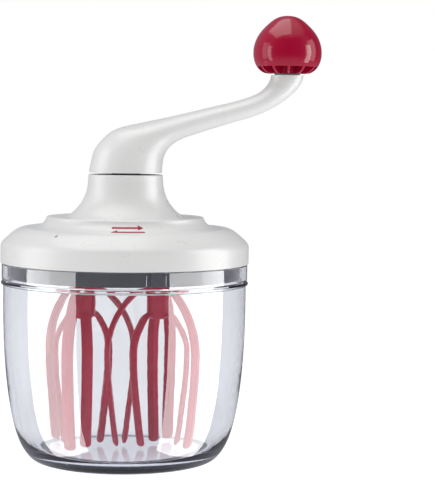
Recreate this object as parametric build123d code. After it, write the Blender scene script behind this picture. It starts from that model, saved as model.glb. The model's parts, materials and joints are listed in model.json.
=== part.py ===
from build123d import *
import os
from math import acos, asin, cos, degrees, pi, radians, sin, tan

# Hand-cranked egg beater: a clear bowl, a lid that lifts straight off, a crank on top,
# and two meshing whisks that hang from a gear train inside the lid.
# Millimetres, +Z up. The origin is the centre of the bowl's underside, +X points to the crank knob.

# Bowl
BOWL_FLOOR = 4.5
RIM_HEIGHT = 111.4
RIM_OUTER = 69.5
COLLAR_INNER = 66.9
COLLAR_BOTTOM = 101.9
FOOT_INNER = 43.0
FOOT_OUTER = 49.5
FOOT_DEPTH = 1.8
GUIDE_INNER = 65.6
STATION_AZIMUTHS = [15, 105, 195, 285]

# Lid
LID_RADIUS = 70.2
LID_BOTTOM = 111.7
LID_WALL = 2.4
SKIRT_TOP = 120.5
CREST_RADIUS = 56.3
CREST_HEIGHT = 131.6
PLATEAU_HEIGHT = 137.5
NECK_RADIUS = 21.0
NECK_TOP = 161.3
FLARE_CENTRE = (44.5, 158.0)
FLARE_RADIUS = 23.3
RING_OUTER = 65.2
RING_INNER = 62.6
RING_BOTTOM = 103.1
FLANGE_BOTTOM = 113.0
FLANGE_TOP = 115.0
VENT_RADIUS = 0.9
VENT_AZIMUTH = -36
VENT_REACH = 62.5

# Gear train
RIGHT_SPINDLE = 18.9
LEFT_SPINDLE = -23.1
SHAFT_RADIUS = 4.0
SPINDLE_RADIUS = 3.0
PIVOT_RADIUS = 2.5
RUNNING_FIT = 0.05
PRESS_GAP = 0.02
PRESSURE_ANGLE = 20
BACKLASH = 0.16
DRIVE_TEETH = 39
PINION_TEETH = 15
DRIVE_MODULE = 0.7
TIMING_TEETH = 42
TIMING_MODULE = 1.0
TIMING_BOTTOM = 113.5
TIMING_TOP = 118.5
DRIVE_BOTTOM = 124.0
DRIVE_TOP = 129.0
COVER_BOTTOM = 106.0
COVER_TOP = 109.0
COVER_RADIUS = 62.3
SCREW_PLACE = 26.9

# Crank
CRANK_RADIUS = 90.9
HUB_RADIUS = 20.4
HUB_BOTTOM = 162.4
ARM_END_RADIUS = 9.25
ARM_END_HEIGHT = 218.2
PIN_RADIUS = 4.0

# Knob
KNOB_RADIUS = 19.35
KNOB_BOTTOM = 219.3
KNOB_TOP = 251.7
KNOB_POCKETS = 12
POCKET_ANGLE = 25

# Whisks
WHISK_HUB_RADIUS = 6.4
WHISK_HUB_BOTTOM = 79.5
WHISK_HUB_TOP = 98.0
TINE_WIDTH = 6.9
TINE_THICKNESS = 2.6
TINE_TURN = 14
INNER_TURN = 24
TINE_EDGE = 0.55
TINE_RIM = 0.62
RIB_RADIUS = 0.7


def turned(outline):
    """Solid of revolution about Z from a closed outline of (radius, height) edges."""
    return revolve(Plane.XZ * make_face(outline), Axis.Z)


def turned_points(*points):
    """Solid of revolution from the corners of its (radius, height) outline."""
    return turned(Polyline(*points, close=True).edges())


def smooth(points, start, end):
    """Smooth curve through points, with its directions at both ends."""
    return Spline(*points, tangents=[start, end], tangent_scalars=[1, 1])


def post(radius, bottom, top, x=0, y=0):
    """Upright cylinder between two heights."""
    return Pos(x, y, (bottom + top) / 2) * Cylinder(radius, top - bottom)


def tube(outer, inner, bottom, top, x=0, y=0):
    """Upright tube between two heights."""
    return post(outer, bottom, top, x, y) - post(inner, bottom - 1, top + 1, x, y)


def block(x_range, y_range, z_range):
    """Box between two corners."""
    size = [high - low for low, high in (x_range, y_range, z_range)]
    middle = [(high + low) / 2 for low, high in (x_range, y_range, z_range)]
    return Pos(*middle) * Box(*size)


def around(solid, azimuths):
    """Copies of a solid, which lies at the front (-Y), turned to each azimuth."""
    return [Rot(0, 0, azimuth) * solid for azimuth in azimuths]


# ---------------------------------------------------------------- bowl

def spindle_place(side):
    """X of the right (1) or left (-1) spindle: pitch radii of drive gear and pinion, and of the timing gears."""
    return RIGHT_SPINDLE if side > 0 else LEFT_SPINDLE


def guide_rib():
    """U-shaped rib inside the collar, at the front, which takes one lug of the closure ring."""
    band = tube(68.0, GUIDE_INNER, 102.4, 109.5)
    frame = block((-6.0, 6.0), (-70, -60), (102.4, 109.5))
    frame -= block((-4.6, 4.6), (-70, -60), (103.8, 120))
    return band & frame


def make_bowl():
    """Clear bowl: thick foot, flared wall, a bead, and a straight collar with four guide ribs."""
    outside = [
        Line((0, 0), (FOOT_INNER, 0)),
        Polyline((FOOT_INNER, 0), (FOOT_INNER, FOOT_DEPTH), (FOOT_OUTER, FOOT_DEPTH), (FOOT_OUTER, 0)),
        Line((FOOT_OUTER, 0), (50.2, 0)),
        smooth([(50.2, 0), (54.4, 2.6), (60.6, 13.6), (64.5, 29.4), (67.4, 53.3), (68.7, 99.3)],
               (1, 0.05), (0, 1)),
        Polyline((68.7, 99.3), (69.5, 99.6)),
        ThreePointArc((69.5, 99.6), (69.95, 100.3), (69.5, 101.0)),
        Polyline((69.5, 101.0), (69.1, 101.6), (RIM_OUTER, 102.6), (RIM_OUTER, 110.8)),
        ThreePointArc((RIM_OUTER, 110.8), (69.3, 111.2), (68.9, RIM_HEIGHT)),
    ]
    inside = [
        Line((68.9, RIM_HEIGHT), (67.3, RIM_HEIGHT)),
        Polyline((67.3, RIM_HEIGHT), (COLLAR_INNER, 111.0), (COLLAR_INNER, COLLAR_BOTTOM), (66.1, 100.5)),
        smooth([(66.1, 100.5), (64.7, 53.5), (61.6, 29.8), (56.9, 12.6), (51.8, 6.4), (44.5, BOWL_FLOOR)],
               (0, -1), (-1, 0)),
        Line((44.5, BOWL_FLOOR), (0, BOWL_FLOOR)),
        Line((0, BOWL_FLOOR), (0, 0)),
    ]
    bowl = turned(outside + inside)
    for rib in around(guide_rib(), STATION_AZIMUTHS):
        bowl += rib
    return bowl


def make_foot_ring():
    """Anti-slip ring in the groove of the bowl's underside, flush with it."""
    return tube(FOOT_OUTER, FOOT_INNER, 0, FOOT_DEPTH)


# ---------------------------------------------------------------- lid

def flare_arc(offset):
    """Concave flare from the plateau up to the neck, moved inward by an offset."""
    radius = FLARE_RADIUS + offset
    sweep = degrees(asin((FLARE_CENTRE[1] - PLATEAU_HEIGHT + offset) / radius))
    return CenterArc(FLARE_CENTRE, radius, 180, sweep)


def lid_blank():
    """The lid's outer form as one full solid."""
    flare = flare_arc(0)
    foot, neck = sorted([flare @ 0, flare @ 1], key=lambda point: point.Y)
    return turned([
        Line((0, LID_BOTTOM), (LID_RADIUS, LID_BOTTOM)),
        Line((LID_RADIUS, LID_BOTTOM), (LID_RADIUS, SKIRT_TOP)),
        smooth([(LID_RADIUS, SKIRT_TOP), (66.3, 126.2), (CREST_RADIUS, CREST_HEIGHT)], (0, 1), (-1, 0)),
        smooth([(CREST_RADIUS, CREST_HEIGHT), (51.9, 131.2), (47.0, 133.3), (44.5, 137.0)], (-1, 0), (-0.2, 1)),
        Polyline((44.5, 137.0), (44.0, PLATEAU_HEIGHT), (foot.X, foot.Y)),
        flare,
        Polyline((neck.X, neck.Y), (NECK_RADIUS, NECK_TOP - 0.4), (NECK_RADIUS - 0.4, NECK_TOP), (0, NECK_TOP)),
        Line((0, NECK_TOP), (0, LID_BOTTOM)),
    ])


def lid_hollow():
    """Space under the lid's wall."""
    flare = flare_arc(LID_WALL)
    foot, neck = sorted([flare @ 0, flare @ 1], key=lambda point: point.Y)
    skirt = LID_RADIUS - LID_WALL
    return turned([
        Line((0, LID_BOTTOM - 1), (skirt, LID_BOTTOM - 1)),
        Line((skirt, LID_BOTTOM - 1), (skirt, SKIRT_TOP)),
        smooth([(skirt, SKIRT_TOP), (64.6, 124.7), (CREST_RADIUS, CREST_HEIGHT - LID_WALL)], (0, 1), (-1, 0)),
        smooth([(CREST_RADIUS, CREST_HEIGHT - LID_WALL), (51.4, 128.7), (45.4, 131.3), (42.3, 135.1)],
               (-1, 0), (-0.5, 1)),
        Line((42.3, 135.1), (foot.X, foot.Y)),
        flare,
        Polyline((neck.X, neck.Y), (neck.X, NECK_TOP - LID_WALL), (0, NECK_TOP - LID_WALL)),
        Line((0, NECK_TOP - LID_WALL), (0, LID_BOTTOM - 1)),
    ])


def lid_supports():
    """Inner supports: shaft tube with four webs, spindle bosses, screw posts and skirt ribs."""
    supports = [post(8.5, 136.4, NECK_TOP)]
    for azimuth in (45, 135, 225, 315):
        supports.append(Rot(0, 0, azimuth) * block((7.5, 44), (-0.9, 0.9), (137.0, NECK_TOP)))
    for side in (-1, 1):
        supports.append(post(5.2, 130.6, NECK_TOP, spindle_place(side)))
        for depth in (-1, 1):
            supports.append(post(3.6, COVER_TOP, NECK_TOP, side * SCREW_PLACE, depth * SCREW_PLACE))
    for index in range(8):
        rib = block((61.5, LID_RADIUS), (-0.8, 0.8), (FLANGE_TOP + 0.05, NECK_TOP))
        supports.append(Rot(0, 0, 22.5 + 45 * index) * rib)
    return supports


def make_lid_shell():
    """White lid: stepped dome, flared neck, with its inner supports and a small vent hole."""
    blank = lid_blank()
    room = blank + post(30, COVER_TOP, LID_BOTTOM + 1) + tube(40, 20, COVER_TOP, LID_BOTTOM + 1)
    shell = blank - lid_hollow()
    for support in lid_supports():
        shell += support & room
    shell -= post(6.05, 136.0, NECK_TOP + 1)
    for side in (-1, 1):
        shell -= post(PIVOT_RADIUS + RUNNING_FIT, 130.0, 137.0, spindle_place(side))
        for depth in (-1, 1):
            shell -= post(1.45, COVER_TOP - 1, 120.5, side * SCREW_PLACE, depth * SCREW_PLACE)
    vent = post(VENT_RADIUS, 118, 134, 0, -VENT_REACH)
    return shell - Rot(0, 0, VENT_AZIMUTH) * vent


def make_closure_ring():
    """Dark ring that drops into the collar, with four lugs that keep the lid from turning."""
    ring = turned_points((RING_INNER, RING_BOTTOM + 0.6), (RING_INNER + 0.6, RING_BOTTOM),
                         (RING_OUTER - 0.6, RING_BOTTOM), (RING_OUTER, RING_BOTTOM + 0.6),
                         (RING_OUTER, FLANGE_BOTTOM), (67.6, FLANGE_BOTTOM), (67.6, FLANGE_TOP),
                         (RING_INNER, FLANGE_TOP))
    lug = tube(66.5, 64.0, 104.6, 111.0) & block((-3.7, 3.7), (-70, -60), (104.6, 111.0))
    for placed in around(lug, STATION_AZIMUTHS):
        ring += placed
    return ring


def make_lid_seal():
    """Soft ring under the closure ring's flange, which rests on the bowl's rim."""
    return turned_points((65.25, 111.9), (66.2, 111.9), (66.6, 111.45), (67.6, 111.45),
                         (67.7, 111.7), (67.7, FLANGE_BOTTOM), (65.25, FLANGE_BOTTOM))


def make_gear_cover():
    """Plate that closes the gear space, with bush seats and screw holes."""
    cover = post(COVER_RADIUS, COVER_BOTTOM, COVER_TOP)
    cover += tube(COVER_RADIUS, 60.2, COVER_BOTTOM, 112.6)
    cover += tube(48.0, 46.6, COVER_BOTTOM - 1.4, COVER_BOTTOM)
    for side in (-1, 1):
        cover += post(8.0, 104.0, 111.0, spindle_place(side))
    for side in (-1, 1):
        cover -= post(5.05, 100.0, 120.0, spindle_place(side))
        for depth in (-1, 1):
            cover -= post(1.7, 100.0, 120.0, side * SCREW_PLACE, depth * SCREW_PLACE)
    return cover


def make_cover_screws():
    """Four pan-head screws that hold the gear cover to the lid's posts."""
    screws = []
    for x in (-SCREW_PLACE, SCREW_PLACE):
        for y in (-SCREW_PLACE, SCREW_PLACE):
            screw = post(1.4, COVER_BOTTOM - 0.5, 119.0, x, y) + post(2.9, 103.9, COVER_BOTTOM, x, y)
            screw -= block((x - 2.0, x + 2.0), (y - 0.35, y + 0.35), (103.0, 104.7))
            screw -= block((x - 0.35, x + 0.35), (y - 2.0, y + 2.0), (103.0, 104.7))
            screws.append(screw)
    return Compound(children=screws)


def make_bush(bottom, top, flange_bottom, flange_top, outer, bore, flange, x=0):
    """Flanged plain bush."""
    bush = tube(outer, bore, bottom, top, x)
    return bush + tube(flange, bore, flange_bottom, flange_top, x)


# ---------------------------------------------------------------- gears

def involute(angle):
    """Involute function of an angle in radians."""
    return tan(angle) - angle


def flank_angle(radius, teeth, module):
    """Half the angle that a tooth spans at a radius."""
    pitch = teeth * module / 2
    base = pitch * cos(radians(PRESSURE_ANGLE))
    local = acos(min(1.0, base / radius))
    half = pi / (2 * teeth) - BACKLASH / (4 * pitch)
    return half + involute(radians(PRESSURE_ANGLE)) - involute(local)


def polar(radius, angle):
    """Point in the plane of a gear."""
    return (radius * cos(angle), radius * sin(angle))


def gear_disc(teeth, module, thickness, turn=0):
    """Spur gear without a bore. A turn of 0 points one tooth along +X."""
    pitch = teeth * module / 2
    base = pitch * cos(radians(PRESSURE_ANGLE))
    root = pitch - 1.25 * module
    tip = pitch + 0.92 * module
    start = max(root, base * 1.0005)
    middle = (start + tip) / 2
    edges = []
    step = 2 * pi / teeth
    for index in range(teeth):
        centre = index * step + radians(turn)
        gap = centre + step / 2
        spread = [flank_angle(radius, teeth, module) for radius in (start, middle, tip)]
        low, mid, high = spread
        next_low = centre + step - low
        if start > root:
            edges.append(Line(polar(root, centre - low), polar(start, centre - low)))
            edges.append(Line(polar(start, centre + low), polar(root, centre + low)))
        edges.append(ThreePointArc(polar(start, centre - low), polar(middle, centre - mid),
                                   polar(tip, centre - high)))
        edges.append(ThreePointArc(polar(tip, centre - high), polar(tip, centre), polar(tip, centre + high)))
        edges.append(ThreePointArc(polar(tip, centre + high), polar(middle, centre + mid),
                                   polar(start, centre + low)))
        edges.append(ThreePointArc(polar(root, centre + low), polar(root, gap), polar(root, next_low)))
    return extrude(make_face(edges), thickness)


def make_drive_gear():
    """Large gear on the crank shaft, with a hub above and below."""
    gear = Pos(0, 0, DRIVE_BOTTOM) * gear_disc(DRIVE_TEETH, DRIVE_MODULE, DRIVE_TOP - DRIVE_BOTTOM)
    gear += post(7.0, 123.8, 135.2)
    return gear - post(SHAFT_RADIUS + PRESS_GAP, 120, 140)


def make_pinion():
    """Small gear on the right spindle, with a sleeve that rests on the timing gear."""
    gear = gear_disc(PINION_TEETH, DRIVE_MODULE, DRIVE_TOP - DRIVE_BOTTOM, turn=180 / PINION_TEETH * 2)
    gear = Pos(RIGHT_SPINDLE, 0, DRIVE_BOTTOM) * gear
    gear += post(4.3, 119.1, DRIVE_BOTTOM, RIGHT_SPINDLE)
    return gear - post(SPINDLE_RADIUS + PRESS_GAP, 110, 140, RIGHT_SPINDLE)


def make_timing_gear(side):
    """One of the pair of gears that keep the whisks in step."""
    turn = 0 if side < 0 else 180 / TIMING_TEETH
    gear = Pos(0, 0, TIMING_BOTTOM) * gear_disc(TIMING_TEETH, TIMING_MODULE, TIMING_TOP - TIMING_BOTTOM, turn)
    gear -= tube(17.6, 8.0, TIMING_TOP - 1.4, TIMING_TOP + 1)
    gear -= tube(17.6, 8.0, TIMING_BOTTOM - 1, TIMING_BOTTOM + 1.4)
    for index in range(6):
        gear -= Rot(0, 0, 60 * index) * post(2.8, 110, 122, 12.8)
    gear += post(6.0, 112.7, 119.0)
    gear -= post(SPINDLE_RADIUS + PRESS_GAP, 110, 140)
    return Pos(spindle_place(side), 0, 0) * gear


def make_spindle(side):
    """Whisk spindle: round in its bush and gears, a pivot on top, a flat where the whisk plugs on."""
    x = spindle_place(side)
    spindle = post(SPINDLE_RADIUS, 84.0, 129.5, x) + post(PIVOT_RADIUS, 129.5, 136.5, x)
    spindle -= tube(SPINDLE_RADIUS + 1, PIVOT_RADIUS, 102.4, 103.6, x)
    return spindle - block((x + 2.4, x + 4), (-4, 4), (83, 98.0))


def make_circlip(side):
    """Open spring ring in the spindle's groove, under the bush."""
    x = spindle_place(side)
    ring = tube(4.6, PIVOT_RADIUS + 0.03, 102.55, 103.45, x)
    return ring - block((x - 1.6, x + 1.6), (-6, 0), (102, 104))


def make_spacer():
    """Sleeve on the left spindle, which fills the height of the pinion."""
    return tube(4.6, SPINDLE_RADIUS + PRESS_GAP, 119.1, DRIVE_TOP, LEFT_SPINDLE)


# ---------------------------------------------------------------- crank

# Sections of the crank arm from the hub to the end: the two silhouette points (x, z) on the
# outside and the inside of the bends, and half the depth across Y.
ARM_SECTIONS = [
    ((-20.1, 166.2), (20.7, 166.4), 20.4),
    ((-19.2, 170.4), (21.4, 171.0), 20.2),
    ((-17.4, 175.6), (23.4, 175.4), 19.6),
    ((-13.8, 180.4), (25.9, 178.2), 18.7),
    ((-7.6, 185.8), (28.6, 180.1), 17.3),
    ((1.6, 189.0), (31.4, 181.6), 15.6),
    ((13.8, 191.7), (34.6, 182.9), 13.8),
    ((28.2, 194.9), (38.8, 184.4), 12.2),
    ((45.9, 199.3), (49.6, 187.9), 10.8),
    ((59.0, 202.5), (62.4, 191.9), 10.2),
    ((68.4, 205.3), (73.6, 195.4), 9.9),
    ((75.2, 208.4), (84.4, 200.6), 9.6),
    ((79.3, 212.2), (93.4, 207.2), 9.4),
    ((81.2, 215.6), (98.8, 213.6), 9.3),
]


def oval(plane, half_width, half_depth):
    """Oval face of four quarter curves, so that all sections of a loft match."""
    pull = 0.5523
    quarters = []
    for x, y in ((1, 1), (-1, 1), (-1, -1), (1, -1)):
        wide, deep = x * half_width, y * half_depth
        corners = [(wide, 0), (wide, pull * deep), (pull * wide, deep), (0, deep)]
        quarters.append(Bezier(*[plane.from_local_coords(corner) for corner in corners]))
    return make_face(quarters)


def arm_section(outside, inside, half_depth):
    """Oval section that spans two silhouette points."""
    far = Vector(outside[0], 0, outside[1])
    near = Vector(inside[0], 0, inside[1])
    across = near - far
    plane = Plane(origin=(far + near) / 2, x_dir=across, z_dir=across.cross(Vector(0, 1, 0)))
    return oval(plane, across.length / 2, half_depth)


def make_crank_arm():
    """Swept crank arm: a round hub over the neck, an S-shaped arm and a round end under the knob."""
    sections = [oval(Plane.XY.offset(HUB_BOTTOM), HUB_RADIUS, HUB_RADIUS)]
    sections += [arm_section(*row) for row in ARM_SECTIONS]
    sections.append(oval(Plane((CRANK_RADIUS, 0, ARM_END_HEIGHT)), ARM_END_RADIUS, ARM_END_RADIUS))
    arm = loft(sections)
    arm -= tube(16.8, 8.2, HUB_BOTTOM - 1, 169.5)
    arm -= post(SHAFT_RADIUS + PRESS_GAP, HUB_BOTTOM - 1, 177.1)
    arm -= Pos(0, 0, 167.0) * Rot(90, 0, 0) * Cylinder(1.27, 30)
    return arm - post(PIN_RADIUS + PRESS_GAP, 209.0, ARM_END_HEIGHT + 1, CRANK_RADIUS)


def make_drive_shaft():
    """Steel shaft from the crank hub down to the drive gear."""
    shaft = post(SHAFT_RADIUS, DRIVE_BOTTOM, 177.0)
    shaft -= post(1.6, DRIVE_BOTTOM - 1, 137.0)
    return shaft - Pos(0, 0, 167.0) * Rot(90, 0, 0) * Cylinder(1.27, 30)


def make_crank_cross_pin():
    """Pin across the hub boss and the shaft."""
    return Pos(0, 0, 167.0) * Rot(90, 0, 0) * Cylinder(1.25, 15.6)


def make_crank_screw():
    """Screw into the shaft's lower end, which holds the drive gear."""
    screw = post(1.55, 122.0, 135.0) + post(3.6, 120.0, 122.3)
    return screw - block((-2.4, 2.4), (-0.4, 0.4), (119, 120.9))


def make_crank_washer():
    """Washer between the screw head and the drive gear."""
    return tube(5.6, 1.7, 122.3, 123.75)


def make_knob_pin():
    """Pin in the arm's end, with a snap head that keeps the knob on."""
    pin = post(PIN_RADIUS, 209.0, 239.4, CRANK_RADIUS)
    head = turned_points((0, 239.0), (4.7, 239.0), (4.7, 240.2), (3.4, 242.2), (0, 242.2))
    return pin + Pos(CRANK_RADIUS, 0, 0) * head


def make_knob_washer():
    """Thin washer between the arm's end and the knob."""
    return tube(7.2, PIN_RADIUS + 0.03, ARM_END_HEIGHT, 219.1, CRANK_RADIUS)


# ---------------------------------------------------------------- knob

def knob_pocket():
    """One radial pocket of the knob's underside, open through its rounded lower edge."""
    outline = [
        Polyline((8.3, KNOB_BOTTOM - 2), (22, KNOB_BOTTOM - 2), (22, 223.0), (16.2, 223.0), (16.2, 229.0)),
        ThreePointArc((16.2, 229.0), (14.9, 233.5), (11.5, 237.0)),
        Polyline((11.5, 237.0), (8.3, 237.0), (8.3, KNOB_BOTTOM - 2)),
    ]
    return revolve(Plane.XZ * make_face(outline), Axis.Z, POCKET_ANGLE)


def make_knob():
    """Egg-shaped knob that turns on the pin, hollowed by radial pockets from below."""
    knob = turned([
        Line((0, KNOB_BOTTOM), (12.2, KNOB_BOTTOM)),
        smooth([(12.2, KNOB_BOTTOM), (16.9, 222.6), (KNOB_RADIUS, 231.0), (16.9, 240.0), (11.1, 246.9),
                (5.6, 250.7), (0, KNOB_TOP)], (1, 0.25), (-1, 0)),
        Line((0, KNOB_TOP), (0, KNOB_BOTTOM)),
    ])
    knob -= post(PIN_RADIUS + 0.08, KNOB_BOTTOM - 1, 239.0)
    knob -= post(5.1, 238.7, 242.7)
    pocket = knob_pocket()
    for index in range(KNOB_POCKETS):
        knob -= Rot(0, 0, 360 / KNOB_POCKETS * index) * pocket
    return Pos(CRANK_RADIUS, 0, 0) * knob


# ---------------------------------------------------------------- whisks

def tine_section(width):
    """Lens-shaped tine section with rounded edges and a fine rib along the middle of both faces."""
    edge = width / 2 - TINE_EDGE
    crown = TINE_THICKNESS / 2
    blade = make_face([
        ThreePointArc((-edge, -TINE_RIM), (0, -crown), (edge, -TINE_RIM)),
        ThreePointArc((edge, -TINE_RIM), (width / 2, 0), (edge, TINE_RIM)),
        ThreePointArc((edge, TINE_RIM), (0, crown), (-edge, TINE_RIM)),
        ThreePointArc((-edge, TINE_RIM), (-width / 2, 0), (-edge, -TINE_RIM)),
    ])
    rib = crown - 0.4 * RIB_RADIUS
    return blade + Pos(0, rib) * Circle(RIB_RADIUS) + Pos(0, -rib) * Circle(RIB_RADIUS)


def make_tine(route, radii, width):
    """Flat tine along a route of (radius, height) points, with a rounded lower end."""
    path = Plane.XZ * FilletPolyline(*route, radius=radii)
    start = Plane(origin=path @ 0, x_dir=(0, 1, 0), z_dir=path % 0)
    end = Plane(origin=path @ 1, x_dir=(0, 1, 0), z_dir=path % 1)
    tine = sweep(start * tine_section(width), path)
    half = end * (tine_section(width) & Pos(width / 2, 0) * Rectangle(width, 3 * TINE_THICKNESS))
    pivot = Axis(path @ 1, end.y_dir)
    cap = revolve(half, pivot, 180)
    if cap.center().Z > (path @ 1).Z:
        cap = revolve(half, pivot, -180)
    return tine + cap


def make_whisk(side):
    """Whisk with three long outer tines from its hub's top and three short inner tines from its foot."""
    outer_route = [(4.3, 95.6), (12.6, 94.9), (29.5, 78.4), (29.5, 48.0), (24.2, 9.5)]
    inner_route = [(4.3, 83.2), (9.6, 81.0), (17.8, 68.0), (17.4, 46.0), (12.1, 9.3)]
    outer = make_tine(outer_route, [8, 44, 200], TINE_WIDTH)
    inner = make_tine(inner_route, [7, 26, 160], TINE_WIDTH - 0.6)
    whisk = turned([
        Polyline((0, WHISK_HUB_BOTTOM), (2.6, WHISK_HUB_BOTTOM)),
        ThreePointArc((2.6, WHISK_HUB_BOTTOM), (5.4, 80.5), (WHISK_HUB_RADIUS, 83.0)),
        Polyline((WHISK_HUB_RADIUS, 83.0), (WHISK_HUB_RADIUS, WHISK_HUB_TOP - 0.8),
                 (WHISK_HUB_RADIUS - 0.8, WHISK_HUB_TOP), (0, WHISK_HUB_TOP), (0, WHISK_HUB_BOTTOM)),
    ])
    turn = TINE_TURN + 90 * (1 + side)
    for index in range(3):
        whisk += Rot(0, 0, turn + 120 * index) * outer
        whisk += Rot(0, 0, turn + INNER_TURN + 120 * index) * inner
    socket = post(SPINDLE_RADIUS + RUNNING_FIT, 83.8, WHISK_HUB_TOP + 1)
    socket -= block((2.45, 4), (-4, 4), (83, WHISK_HUB_TOP + 2))
    whisk -= socket
    return Pos(spindle_place(side), 0, 0) * whisk


def write(name, shape):
    """Write one sub-part."""
    shape.label = name
    export_step(shape, "parts/" + name + ".step")


os.makedirs("parts", exist_ok=True)

write("bowl", make_bowl())
write("foot_ring", make_foot_ring())
write("lid_shell", make_lid_shell())
write("closure_ring", make_closure_ring())
write("lid_seal", make_lid_seal())
write("gear_cover", make_gear_cover())
write("cover_screws", make_cover_screws())
write("neck_bush_upper", make_bush(154.0, 161.3, 161.3, 162.2, 6.0, SHAFT_RADIUS + RUNNING_FIT, 8.0))
write("neck_bush_lower", make_bush(136.4, 143.0, 135.4, 136.4, 6.0, SHAFT_RADIUS + RUNNING_FIT, 8.0))
write("crank_arm", make_crank_arm())
write("drive_shaft", make_drive_shaft())
write("crank_cross_pin", make_crank_cross_pin())
write("drive_gear", make_drive_gear())
write("crank_screw", make_crank_screw())
write("crank_washer", make_crank_washer())
write("knob_pin", make_knob_pin())
write("knob_washer", make_knob_washer())
write("knob", make_knob())
write("pinion_right", make_pinion())
write("spacer_left", make_spacer())
for side, word in ((1, "right"), (-1, "left")):
    place = spindle_place(side)
    bush = make_bush(104.0, 111.0, 111.0, 112.4, 5.0, SPINDLE_RADIUS + RUNNING_FIT, 6.5, place)
    write("whisk_bush_" + word, bush)
    write("whisk_" + word, make_whisk(side))
    write("spindle_" + word, make_spindle(side))
    write("timing_gear_" + word, make_timing_gear(side))
    write("circlip_" + word, make_circlip(side))
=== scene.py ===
import json
import math

import bmesh
import bpy
from mathutils import Matrix, Vector


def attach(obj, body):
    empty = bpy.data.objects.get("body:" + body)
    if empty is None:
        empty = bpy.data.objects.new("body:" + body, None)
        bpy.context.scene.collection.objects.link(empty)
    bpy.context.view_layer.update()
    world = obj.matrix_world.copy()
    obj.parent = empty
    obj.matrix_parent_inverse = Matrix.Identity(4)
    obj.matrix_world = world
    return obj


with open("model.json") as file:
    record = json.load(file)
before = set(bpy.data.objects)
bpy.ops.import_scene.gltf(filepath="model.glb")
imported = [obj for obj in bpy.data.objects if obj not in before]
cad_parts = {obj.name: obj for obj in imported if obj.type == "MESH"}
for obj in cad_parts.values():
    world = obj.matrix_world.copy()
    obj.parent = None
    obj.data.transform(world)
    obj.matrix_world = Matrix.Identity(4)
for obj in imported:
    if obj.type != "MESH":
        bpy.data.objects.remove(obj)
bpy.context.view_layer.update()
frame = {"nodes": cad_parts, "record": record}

nodes = frame["nodes"]
MM = 0.001

# Camera: place in metres, lens and sensor in millimetres, turns in degrees.
CAMERA_PLACE = (0.0, -0.930, 0.187)
CAMERA_LENS = 119.3
CAMERA_SENSOR = 36.0
CAMERA_CLIP = (0.05, 20)
CAMERA_PAN = -3.23
CAMERA_DIP = 4.1
CAMERA_ROLL = 0.65

# Lamps stand this far from the axis, in metres, and softboxes face this point.
LAMP_DISTANCE = 1.0
LIT_POINT = (0, 0, 0.14)
SOFTBOX_HEIGHT = 0.3
PANEL_HEIGHT = 0.1

# Panels that are only mirrored: name, degrees from the front, width and height in metres,
# radiance, and the nodes that mirror them.
PANELS = (
    ("panel_left", -72, (1.05, 2.4), 8.5, ("bowl",)),
    ("panel_right", 71, (1.2, 2.4), 9.5, ("bowl",)),
    ("strip_left", -66, (0.22, 1.0), 3.0, ("knob",)),
    ("strip_right", 72, (0.3, 1.0), 5.0, ("knob",)),
    ("glow_left", -86, (0.8, 1.8), 1.4, ("lid_shell", "crank_arm")),
    ("glow_right", 86, (0.8, 1.8), 3.2, ("lid_shell", "crank_arm")),
)

# Surroundings by bearing: degrees from straight behind, negative to the left, grey value, blue tint.
SEEN_THROUGH = (
    (-180, 0.18, 0.0), (-125, 0.4, 0.0), (-95, 0.7, 0.0), (-80, 0.3, 0.2), (-60, 0.12, 0.3),
    (-38, 0.25, 0.2), (-26, 1.0, 0.0), (24, 1.0, 0.0), (34, 0.15, 0.3), (60, 0.04, 0.4),
    (80, 0.15, 0.3), (95, 0.7, 0.0), (125, 0.4, 0.0), (180, 0.18, 0.0),
)
MIRRORED = (
    (-180, 0.04, 0.0), (-140, 0.08, 0.0), (-110, 0.3, 0.1), (-70, 0.4, 0.1), (-30, 0.3, 0.2),
    (0, 0.25, 0.2), (30, 0.12, 0.2), (72, 0.08, 0.2), (110, 0.3, 0.1), (140, 0.08, 0.0),
    (180, 0.04, 0.0),
)

# Plastics: the two colours of a faint drift, the range of roughness, the grain's scale and its
# depth in metres, and a clear coat and index of refraction where they differ from the usual.
PLASTICS = {
    "white_plastic": {
        "low": (0.76, 0.76, 0.755), "high": (0.80, 0.80, 0.795), "rough": (0.26, 0.34),
        "grain": (1400, 0.01 * MM), "coat": 0.1},
    "crimson_plastic": {
        "low": (0.33, 0.001, 0.026), "high": (0.40, 0.002, 0.034), "rough": (0.1, 0.16),
        "grain": (1600, 0.005 * MM)},
    # The whisks' crimson is a lighter copy of the knob's, painted brighter to make up for the shade
    # of the tinted bowl in front of them, with a lower index for less sheen.
    "whisk_crimson_lightened": {
        "low": (0.42, 0.0, 0.034), "high": (0.50, 0.0, 0.044), "rough": (0.12, 0.18),
        "grain": (1600, 0.005 * MM), "ior": 1.36},
    "dark_plastic": {
        "low": (0.035, 0.034, 0.045), "high": (0.05, 0.048, 0.062), "rough": (0.35, 0.5),
        "grain": (1200, 0.03 * MM)},
    "gear_plastic": {
        "low": (0.62, 0.6, 0.53), "high": (0.7, 0.68, 0.6), "rough": (0.35, 0.5),
        "grain": (1500, 0.02 * MM)},
    "bush_plastic": {
        "low": (0.25, 0.26, 0.28), "high": (0.32, 0.33, 0.35), "rough": (0.35, 0.5),
        "grain": (1500, 0.02 * MM)},
}

# Noise values between these two are spread over the whole range of a colour or a number.
NOISE_RANGE = (0.3, 0.7)

# Arrows on the lid: radius on the lid, direction, and half the line's width.
ARROWS = ((46.6 * MM, 1, 0.55 * MM), (50.2 * MM, -1, 0.95 * MM))
ARROW_STEPS = 42
ARROW_MIDDLE = 1.6          # degrees to the right of the front
ARROW_REACH = 10.5          # degrees from the arrow's middle to each end
ARROW_HEAD = 3.9            # degrees that the head takes up
ARROW_HEAD_WIDTH = 2.6      # times the line's width
ARROW_POINT = 0.02 * MM     # half the width left at the point
ARROW_SUNK = -0.05 * MM
ARROW_RAISED = 0.1 * MM
ABOVE_OBJECT = 0.3

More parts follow.
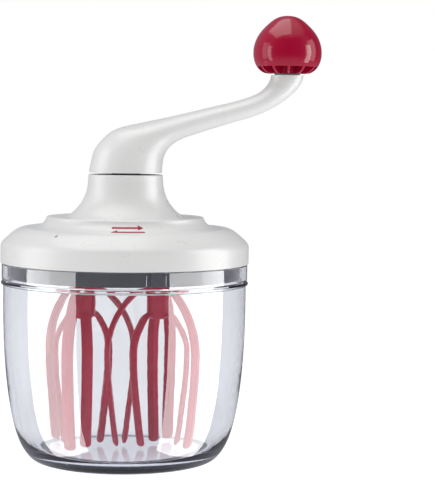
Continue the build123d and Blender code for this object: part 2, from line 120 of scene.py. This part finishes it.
FLOOR_SIZE = 6
FLOOR_DROP = 0.2 * MM


# ---------------------------------------------------------------- camera and light

def around(angle, distance, height):
    """Point at an angle in degrees from the front, to the right when positive."""
    turn = math.radians(angle)
    return (distance * math.sin(turn), -distance * math.cos(turn), height)


def add_camera():
    """Camera at the front, a little above the lid, with the object left of centre."""
    data = bpy.data.cameras.new("camera")
    data.sensor_fit = "VERTICAL"
    data.sensor_height = CAMERA_SENSOR
    data.lens = CAMERA_LENS
    data.clip_start, data.clip_end = CAMERA_CLIP
    camera = bpy.data.objects.new("camera", data)
    bpy.context.scene.collection.objects.link(camera)
    place = Matrix.Translation(CAMERA_PLACE)
    pan = Matrix.Rotation(math.radians(CAMERA_PAN), 4, "Z")
    dip = Matrix.Rotation(math.radians(90 - CAMERA_DIP), 4, "X")
    roll = Matrix.Rotation(math.radians(CAMERA_ROLL), 4, "Z")
    camera.matrix_world = place @ pan @ dip @ roll
    bpy.context.scene.camera = camera


def add_area(name, place, target, size, radiance):
    """Rectangular lamp that faces a target, hidden from the camera."""
    data = bpy.data.lights.new(name, "AREA")
    data.shape = "RECTANGLE"
    data.size, data.size_y = size
    data.energy = radiance * math.pi * size[0] * size[1]
    light = bpy.data.objects.new(name, data)
    light.location = place
    facing = (Vector(target) - Vector(place)).to_track_quat("-Z", "Y")
    light.rotation_euler = facing.to_euler()
    light.visible_camera = False
    bpy.context.scene.collection.objects.link(light)
    return light


def add_panel(name, angle, size, radiance, receivers):
    """Tall panel at one side that is only mirrored, and only in some nodes."""
    place = around(angle, LAMP_DISTANCE, PANEL_HEIGHT)
    panel = add_area(name, place, (0, 0, PANEL_HEIGHT), size, radiance)
    panel.visible_diffuse = False
    panel.visible_transmission = False
    group = bpy.data.collections.new(name + "_receivers")
    for receiver in receivers:
        group.objects.link(nodes[receiver])
    panel.light_linking.receiver_collection = group


def add_lights():
    """Soft light from above and from both sides, and the panels."""
    left = around(-85, LAMP_DISTANCE, SOFTBOX_HEIGHT)
    right = around(88, LAMP_DISTANCE, SOFTBOX_HEIGHT)
    add_area("softbox_top", (-0.2, 0.0, 1.2), LIT_POINT, (1.0, 0.9), 1.9)
    add_area("softbox_left", left, LIT_POINT, (0.5, 0.9), 1.15)
    add_area("softbox_right", right, LIT_POINT, (0.5, 0.9), 1.6)
    for panel in PANELS:
        add_panel(*panel)


def grey(value, tint=0.0):
    """Grey with a blue tint."""
    return (value, value * (1 + 0.1 * tint), value * (1 + tint))


class WorldTree:
    """Node tree of the surroundings, with values that depend on a ray's direction."""

    def __init__(self):
        world = bpy.data.worlds.new("studio")
        bpy.context.scene.world = world
        world.use_nodes = True
        # Cycles' own sampling of the world would ignore the kind of ray.
        world.cycles.sampling_method = "NONE"
        self.tree = world.node_tree
        self.tree.nodes.clear()
        direction = self.tree.nodes.new("ShaderNodeTexCoord").outputs["Generated"]
        split = self.tree.nodes.new("ShaderNodeSeparateXYZ")
        self.tree.links.new(direction, split.inputs[0])
        turn = self.math("ARCTAN2", split.outputs["X"], split.outputs["Y"])
        # 0 to 1 once round, and 0.5 straight behind the object.
        self.bearing = self.math("ADD", self.math("DIVIDE", turn, 2 * math.pi), 0.5)
        self.height = split.outputs["Z"]

    def math(self, operation, first, second):
        node = self.tree.nodes.new("ShaderNodeMath")
        node.operation = operation
        for socket, value in zip(node.inputs, (first, second)):
            if isinstance(value, (int, float)):
                socket.default_value = value
            else:
                self.tree.links.new(value, socket)
        return node.outputs[0]

    def bands(self, stops):
        """Colour by bearing, from (degrees, grey value, tint) stops."""
        node = self.tree.nodes.new("ShaderNodeValToRGB")
        elements = node.color_ramp.elements
        places = [(0.5 + angle / 360, (*grey(value, tint), 1)) for angle, value, tint in stops]
        elements[0].position, elements[0].color = places[0]
        elements[1].position, elements[1].color = places[-1]
        for place, colour in places[1:-1]:
            elements.new(place).color = colour
        self.tree.links.new(self.bearing, node.inputs[0])
        return node.outputs[0]

    def rising(self, low, high):
        """0 to 1 as the direction rises between two heights, from -1 down to 1 up."""
        node = self.tree.nodes.new("ShaderNodeMapRange")
        node.interpolation_type = "SMOOTHSTEP"
        node.inputs["From Min"].default_value = low
        node.inputs["From Max"].default_value = high
        self.tree.links.new(self.height, node.inputs["Value"])
        return node.outputs["Result"]

    def mix(self, factor, first, second):
        """Blend of two colours, each a tuple or a socket."""
        node = self.tree.nodes.new("ShaderNodeMixRGB")
        self.tree.links.new(factor, node.inputs[0])
        for socket, value in zip(node.inputs[1:], (first, second)):
            if isinstance(value, tuple):
                socket.default_value = (*value, 1)
            else:
                self.tree.links.new(value, socket)
        return node.outputs[0]

    def finish(self, colour):
        back = self.tree.nodes.new("ShaderNodeBackground")
        out = self.tree.nodes.new("ShaderNodeOutputWorld")
        self.tree.links.new(colour, back.inputs["Color"])
        self.tree.links.new(back.outputs[0], out.inputs[0])


def add_world():
    """White backdrop with dark flags beside it for the clear bowl, a dim room with a light
    ceiling and floor for reflections, and even soft light for everything matt."""
    studio = WorldTree()
    ray = studio.tree.nodes.new("ShaderNodeLightPath").outputs
    seen_through = studio.bands(SEEN_THROUGH)
    mirrored = studio.bands(MIRRORED)
    mirrored = studio.mix(studio.rising(0.7, 0.95), mirrored, grey(0.8))
    mirrored = studio.mix(studio.rising(-0.7, -0.1), grey(0.62, 0.15), mirrored)
    soft = studio.mix(studio.rising(-0.6, 0.8), grey(0.36), grey(0.6))
    colour = studio.mix(ray["Is Glossy Ray"], soft, mirrored)
    colour = studio.mix(ray["Is Transmission Ray"], colour, seen_through)
    studio.finish(studio.mix(ray["Is Camera Ray"], colour, grey(1)))


# ---------------------------------------------------------------- materials

class Shader:
    """A node material around one Principled shader, with helpers for procedural detail."""

    def __init__(self, name):
        self.material = bpy.data.materials.new(name)
        self.material.use_nodes = True
        self.tree = self.material.node_tree
        self.principled = self.tree.nodes["Principled BSDF"]
        self.output = self.tree.nodes["Material Output"]
        self.place = self.add("ShaderNodeTexCoord").outputs["Object"]

    def add(self, kind):
        return self.tree.nodes.new(kind)

    def link(self, source, target):
        self.tree.links.new(source, target)

    def set(self, **values):
        """Sets the Principled shader's own sockets, with _ for each space in a name."""
        for key, value in values.items():
            self.principled.inputs[key.replace("_", " ")].default_value = value

    def feed(self, name, source):
        """Links a value to one of the Principled shader's sockets."""
        self.link(source, self.principled.inputs[name])

    def noise(self, scale, detail, rough=0.5, stretch=(1, 1, 1)):
        mapping = self.add("ShaderNodeMapping")
        mapping.inputs["Scale"].default_value = stretch
        self.link(self.place, mapping.inputs["Vector"])
        node = self.add("ShaderNodeTexNoise")
        node.inputs["Scale"].default_value = scale
        node.inputs["Detail"].default_value = detail
        node.inputs["Roughness"].default_value = rough
        self.link(mapping.outputs[0], node.inputs["Vector"])
        return node.outputs["Fac"]

    def numbers(self, source, low, high):
        """Spreads a noise over the numbers between low and high."""
        node = self.add("ShaderNodeMapRange")
        node.inputs["From Min"].default_value, node.inputs["From Max"].default_value = NOISE_RANGE
        node.inputs["To Min"].default_value = low
        node.inputs["To Max"].default_value = high
        self.link(source, node.inputs["Value"])
        return node.outputs["Result"]

    def colours(self, source, low, high):
        """Blends two colours by a noise."""
        node = self.add("ShaderNodeValToRGB")
        for element, position, colour in zip(node.color_ramp.elements, NOISE_RANGE, (low, high)):
            element.position = position
            element.color = (*colour, 1)
        self.link(source, node.inputs["Fac"])
        return node.outputs["Color"]

    def bump(self, source, distance, strength, after=None):
        """Relief with a depth in metres, on top of an earlier bump if there is one."""
        node = self.add("ShaderNodeBump")
        node.inputs["Distance"].default_value = distance
        node.inputs["Strength"].default_value = strength
        self.link(source, node.inputs["Height"])
        if after is not None:
            self.link(after, node.inputs["Normal"])
        return node.outputs["Normal"]


def moulded_plastic(name, low, high, rough, grain, coat=0.0, ior=1.5):
    """Injection-moulded plastic: faint colour drift, uneven gloss, and a fine moulded texture."""
    shader = Shader(name)
    grain_scale, grain_depth = grain
    shader.feed("Base Color", shader.colours(shader.noise(14, 3), low, high))
    shader.feed("Roughness", shader.numbers(shader.noise(60, 4, 0.6), *rough))
    waves = shader.bump(shader.noise(90, 2), 0.06 * MM, 0.5)
    shader.feed("Normal", shader.bump(shader.noise(grain_scale, 3, 0.6), grain_depth, 0.6, waves))
    shader.set(IOR=ior, Coat_Weight=coat, Coat_Roughness=0.06)
    return shader.material


def clear_plastic(name):
    """Clear moulded plastic with a faint blue-grey depth tint, which lets lamps shine through."""
    shader = Shader(name)
    shader.set(Base_Color=(0.91, 0.915, 0.93, 1), Transmission_Weight=1.0, IOR=1.5)
    shader.feed("Roughness", shader.numbers(shader.noise(120, 3), 0.0, 0.03))
    shader.feed("Normal", shader.bump(shader.noise(35, 1), 0.15 * MM, 0.35))
    through = shader.add("ShaderNodeBsdfTransparent")
    through.inputs["Color"].default_value = (0.9, 0.91, 0.93, 1)
    mix = shader.add("ShaderNodeMixShader")
    shader.link(shader.add("ShaderNodeLightPath").outputs["Is Shadow Ray"], mix.inputs[0])
    shader.link(shader.principled.outputs[0], mix.inputs[1])
    shader.link(through.outputs[0], mix.inputs[2])
    shader.link(mix.outputs[0], shader.output.inputs["Surface"])
    depth = shader.add("ShaderNodeVolumeAbsorption")
    depth.inputs["Color"].default_value = (0.56, 0.58, 0.68, 1)
    depth.inputs["Density"].default_value = 62
    shader.link(depth.outputs[0], shader.output.inputs["Volume"])
    return shader.material


def turned_steel(name):
    """Steel with fine turning marks."""
    shader = Shader(name)
    marks = shader.noise(400, 4, 0.7, stretch=(1, 1, 12))
    shader.feed("Base Color", shader.colours(marks, (0.42, 0.42, 0.43), (0.62, 0.62, 0.62)))
    shader.feed("Roughness", shader.numbers(marks, 0.22, 0.42))
    shader.feed("Normal", shader.bump(marks, 0.03 * MM, 0.6))
    shader.set(Metallic=1.0)
    return shader.material


def seal_rubber(name):
    """Matt black rubber with a powdery grain."""
    shader = Shader(name)
    colour = shader.colours(shader.noise(180, 4), (0.07, 0.07, 0.08), (0.1, 0.1, 0.11))
    shader.feed("Base Color", colour)
    shader.feed("Roughness", shader.numbers(shader.noise(300, 3), 0.55, 0.8))
    shader.feed("Normal", shader.bump(shader.noise(1500, 3), 0.05 * MM, 0.7))
    return shader.material


def foot_rubber(name):
    """Translucent silicone with a faint lavender tint."""
    shader = Shader(name)
    colour = shader.colours(shader.noise(180, 4), (0.86, 0.86, 0.92), (0.92, 0.92, 0.97))
    shader.feed("Base Color", colour)
    shader.feed("Roughness", shader.numbers(shader.noise(300, 3), 0.25, 0.4))
    shader.feed("Normal", shader.bump(shader.noise(900, 3), 0.03 * MM, 0.6))
    shader.set(Transmission_Weight=0.75, IOR=1.41)
    return shader.material


def make_materials():
    made = {name: moulded_plastic(name, **look) for name, look in PLASTICS.items()}
    made["clear_plastic"] = clear_plastic("clear_plastic")
    made["steel"] = turned_steel("steel")
    made["seal_rubber"] = seal_rubber("seal_rubber")
    made["foot_rubber"] = foot_rubber("foot_rubber")
    return made


def paint_nodes():
    """Gives every CAD node the material of its slot, and the whisks a lighter copy of the crimson,
    painted brighter to make up for the shade of the tinted bowl in front of them.
    """
    for part in frame["record"]["subparts"]:
        slot = part["material_slot"]
        if part["node"].startswith("whisk_") and slot == "crimson_plastic":
            slot = "whisk_crimson_lightened"
        mesh = nodes[part["node"]].data
        mesh.materials.clear()
        mesh.materials.append(materials[slot])


# ---------------------------------------------------------------- arrows and floor

def on_lid(angle, radius):
    """Point and normal of the lid's surface at an angle in degrees from the front and a radius."""
    above = Vector(around(angle, radius, ABOVE_OBJECT))
    hit, place, normal, _ = nodes["lid_shell"].ray_cast(above, Vector((0, 0, -1)))
    if not hit:
        raise RuntimeError("the lid has no surface under the mark")
    return place, normal


def arrow_rings(mesh, radius, sign, half):
    """Rows of four points across an arrow, from its tail to its point."""
    rings = []
    for step in range(ARROW_STEPS + 1):
        angle = ARROW_REACH * (2 * step / ARROW_STEPS - 1)
        to_point = (ARROW_REACH - angle) / ARROW_HEAD
        width = half if to_point > 1 else max(ARROW_HEAD_WIDTH * half * to_point, ARROW_POINT)
        ring = []
        for offset, lift in ((-width, ARROW_SUNK), (-width, ARROW_RAISED),
                             (width, ARROW_RAISED), (width, ARROW_SUNK)):
            place, normal = on_lid(sign * angle + ARROW_MIDDLE, radius + offset)
            ring.append(mesh.verts.new(place + normal * lift))
        rings.append(ring)
    return rings


def add_turning_arrows():
    """Raised pair of plain arrows round the neck's foot that point opposite ways."""
    mesh = bmesh.new()
    for radius, sign, half in ARROWS:
        rings = arrow_rings(mesh, radius, sign, half)
        for first, second in zip(rings, rings[1:]):
            for index in range(4):
                after = (index + 1) % 4
                mesh.faces.new((first[index], first[after], second[after], second[index]))
        mesh.faces.new(rings[0])
        mesh.faces.new(list(reversed(rings[-1])))
    bmesh.ops.recalc_face_normals(mesh, faces=mesh.faces)
    data = bpy.data.meshes.new("turning_arrows")
    mesh.to_mesh(data)
    mesh.free()
    data.materials.append(materials["crimson_plastic"])
    arrows = bpy.data.objects.new("turning_arrows", data)
    bpy.context.scene.collection.objects.link(arrows)
    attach(arrows, "lid")


def add_floor():
    """Pale floor, kept bright so that it meets the white surroundings."""
    bpy.ops.mesh.primitive_plane_add(size=FLOOR_SIZE, location=(0, 0, -FLOOR_DROP))
    floor = bpy.context.object
    floor.name = "floor"
    shader = Shader("floor_white")
    shader.feed("Base Color", shader.colours(shader.noise(8, 3), grey(0.38), grey(0.42)))
    shader.set(Roughness=0.6, Emission_Color=(1, 1, 1, 1), Emission_Strength=0.8)
    floor.data.materials.append(shader.material)
    floor.visible_glossy = False


bpy.context.scene.view_settings.view_transform = "Standard"
add_camera()
add_world()
add_lights()
materials = make_materials()
paint_nodes()
add_turning_arrows()
add_floor()
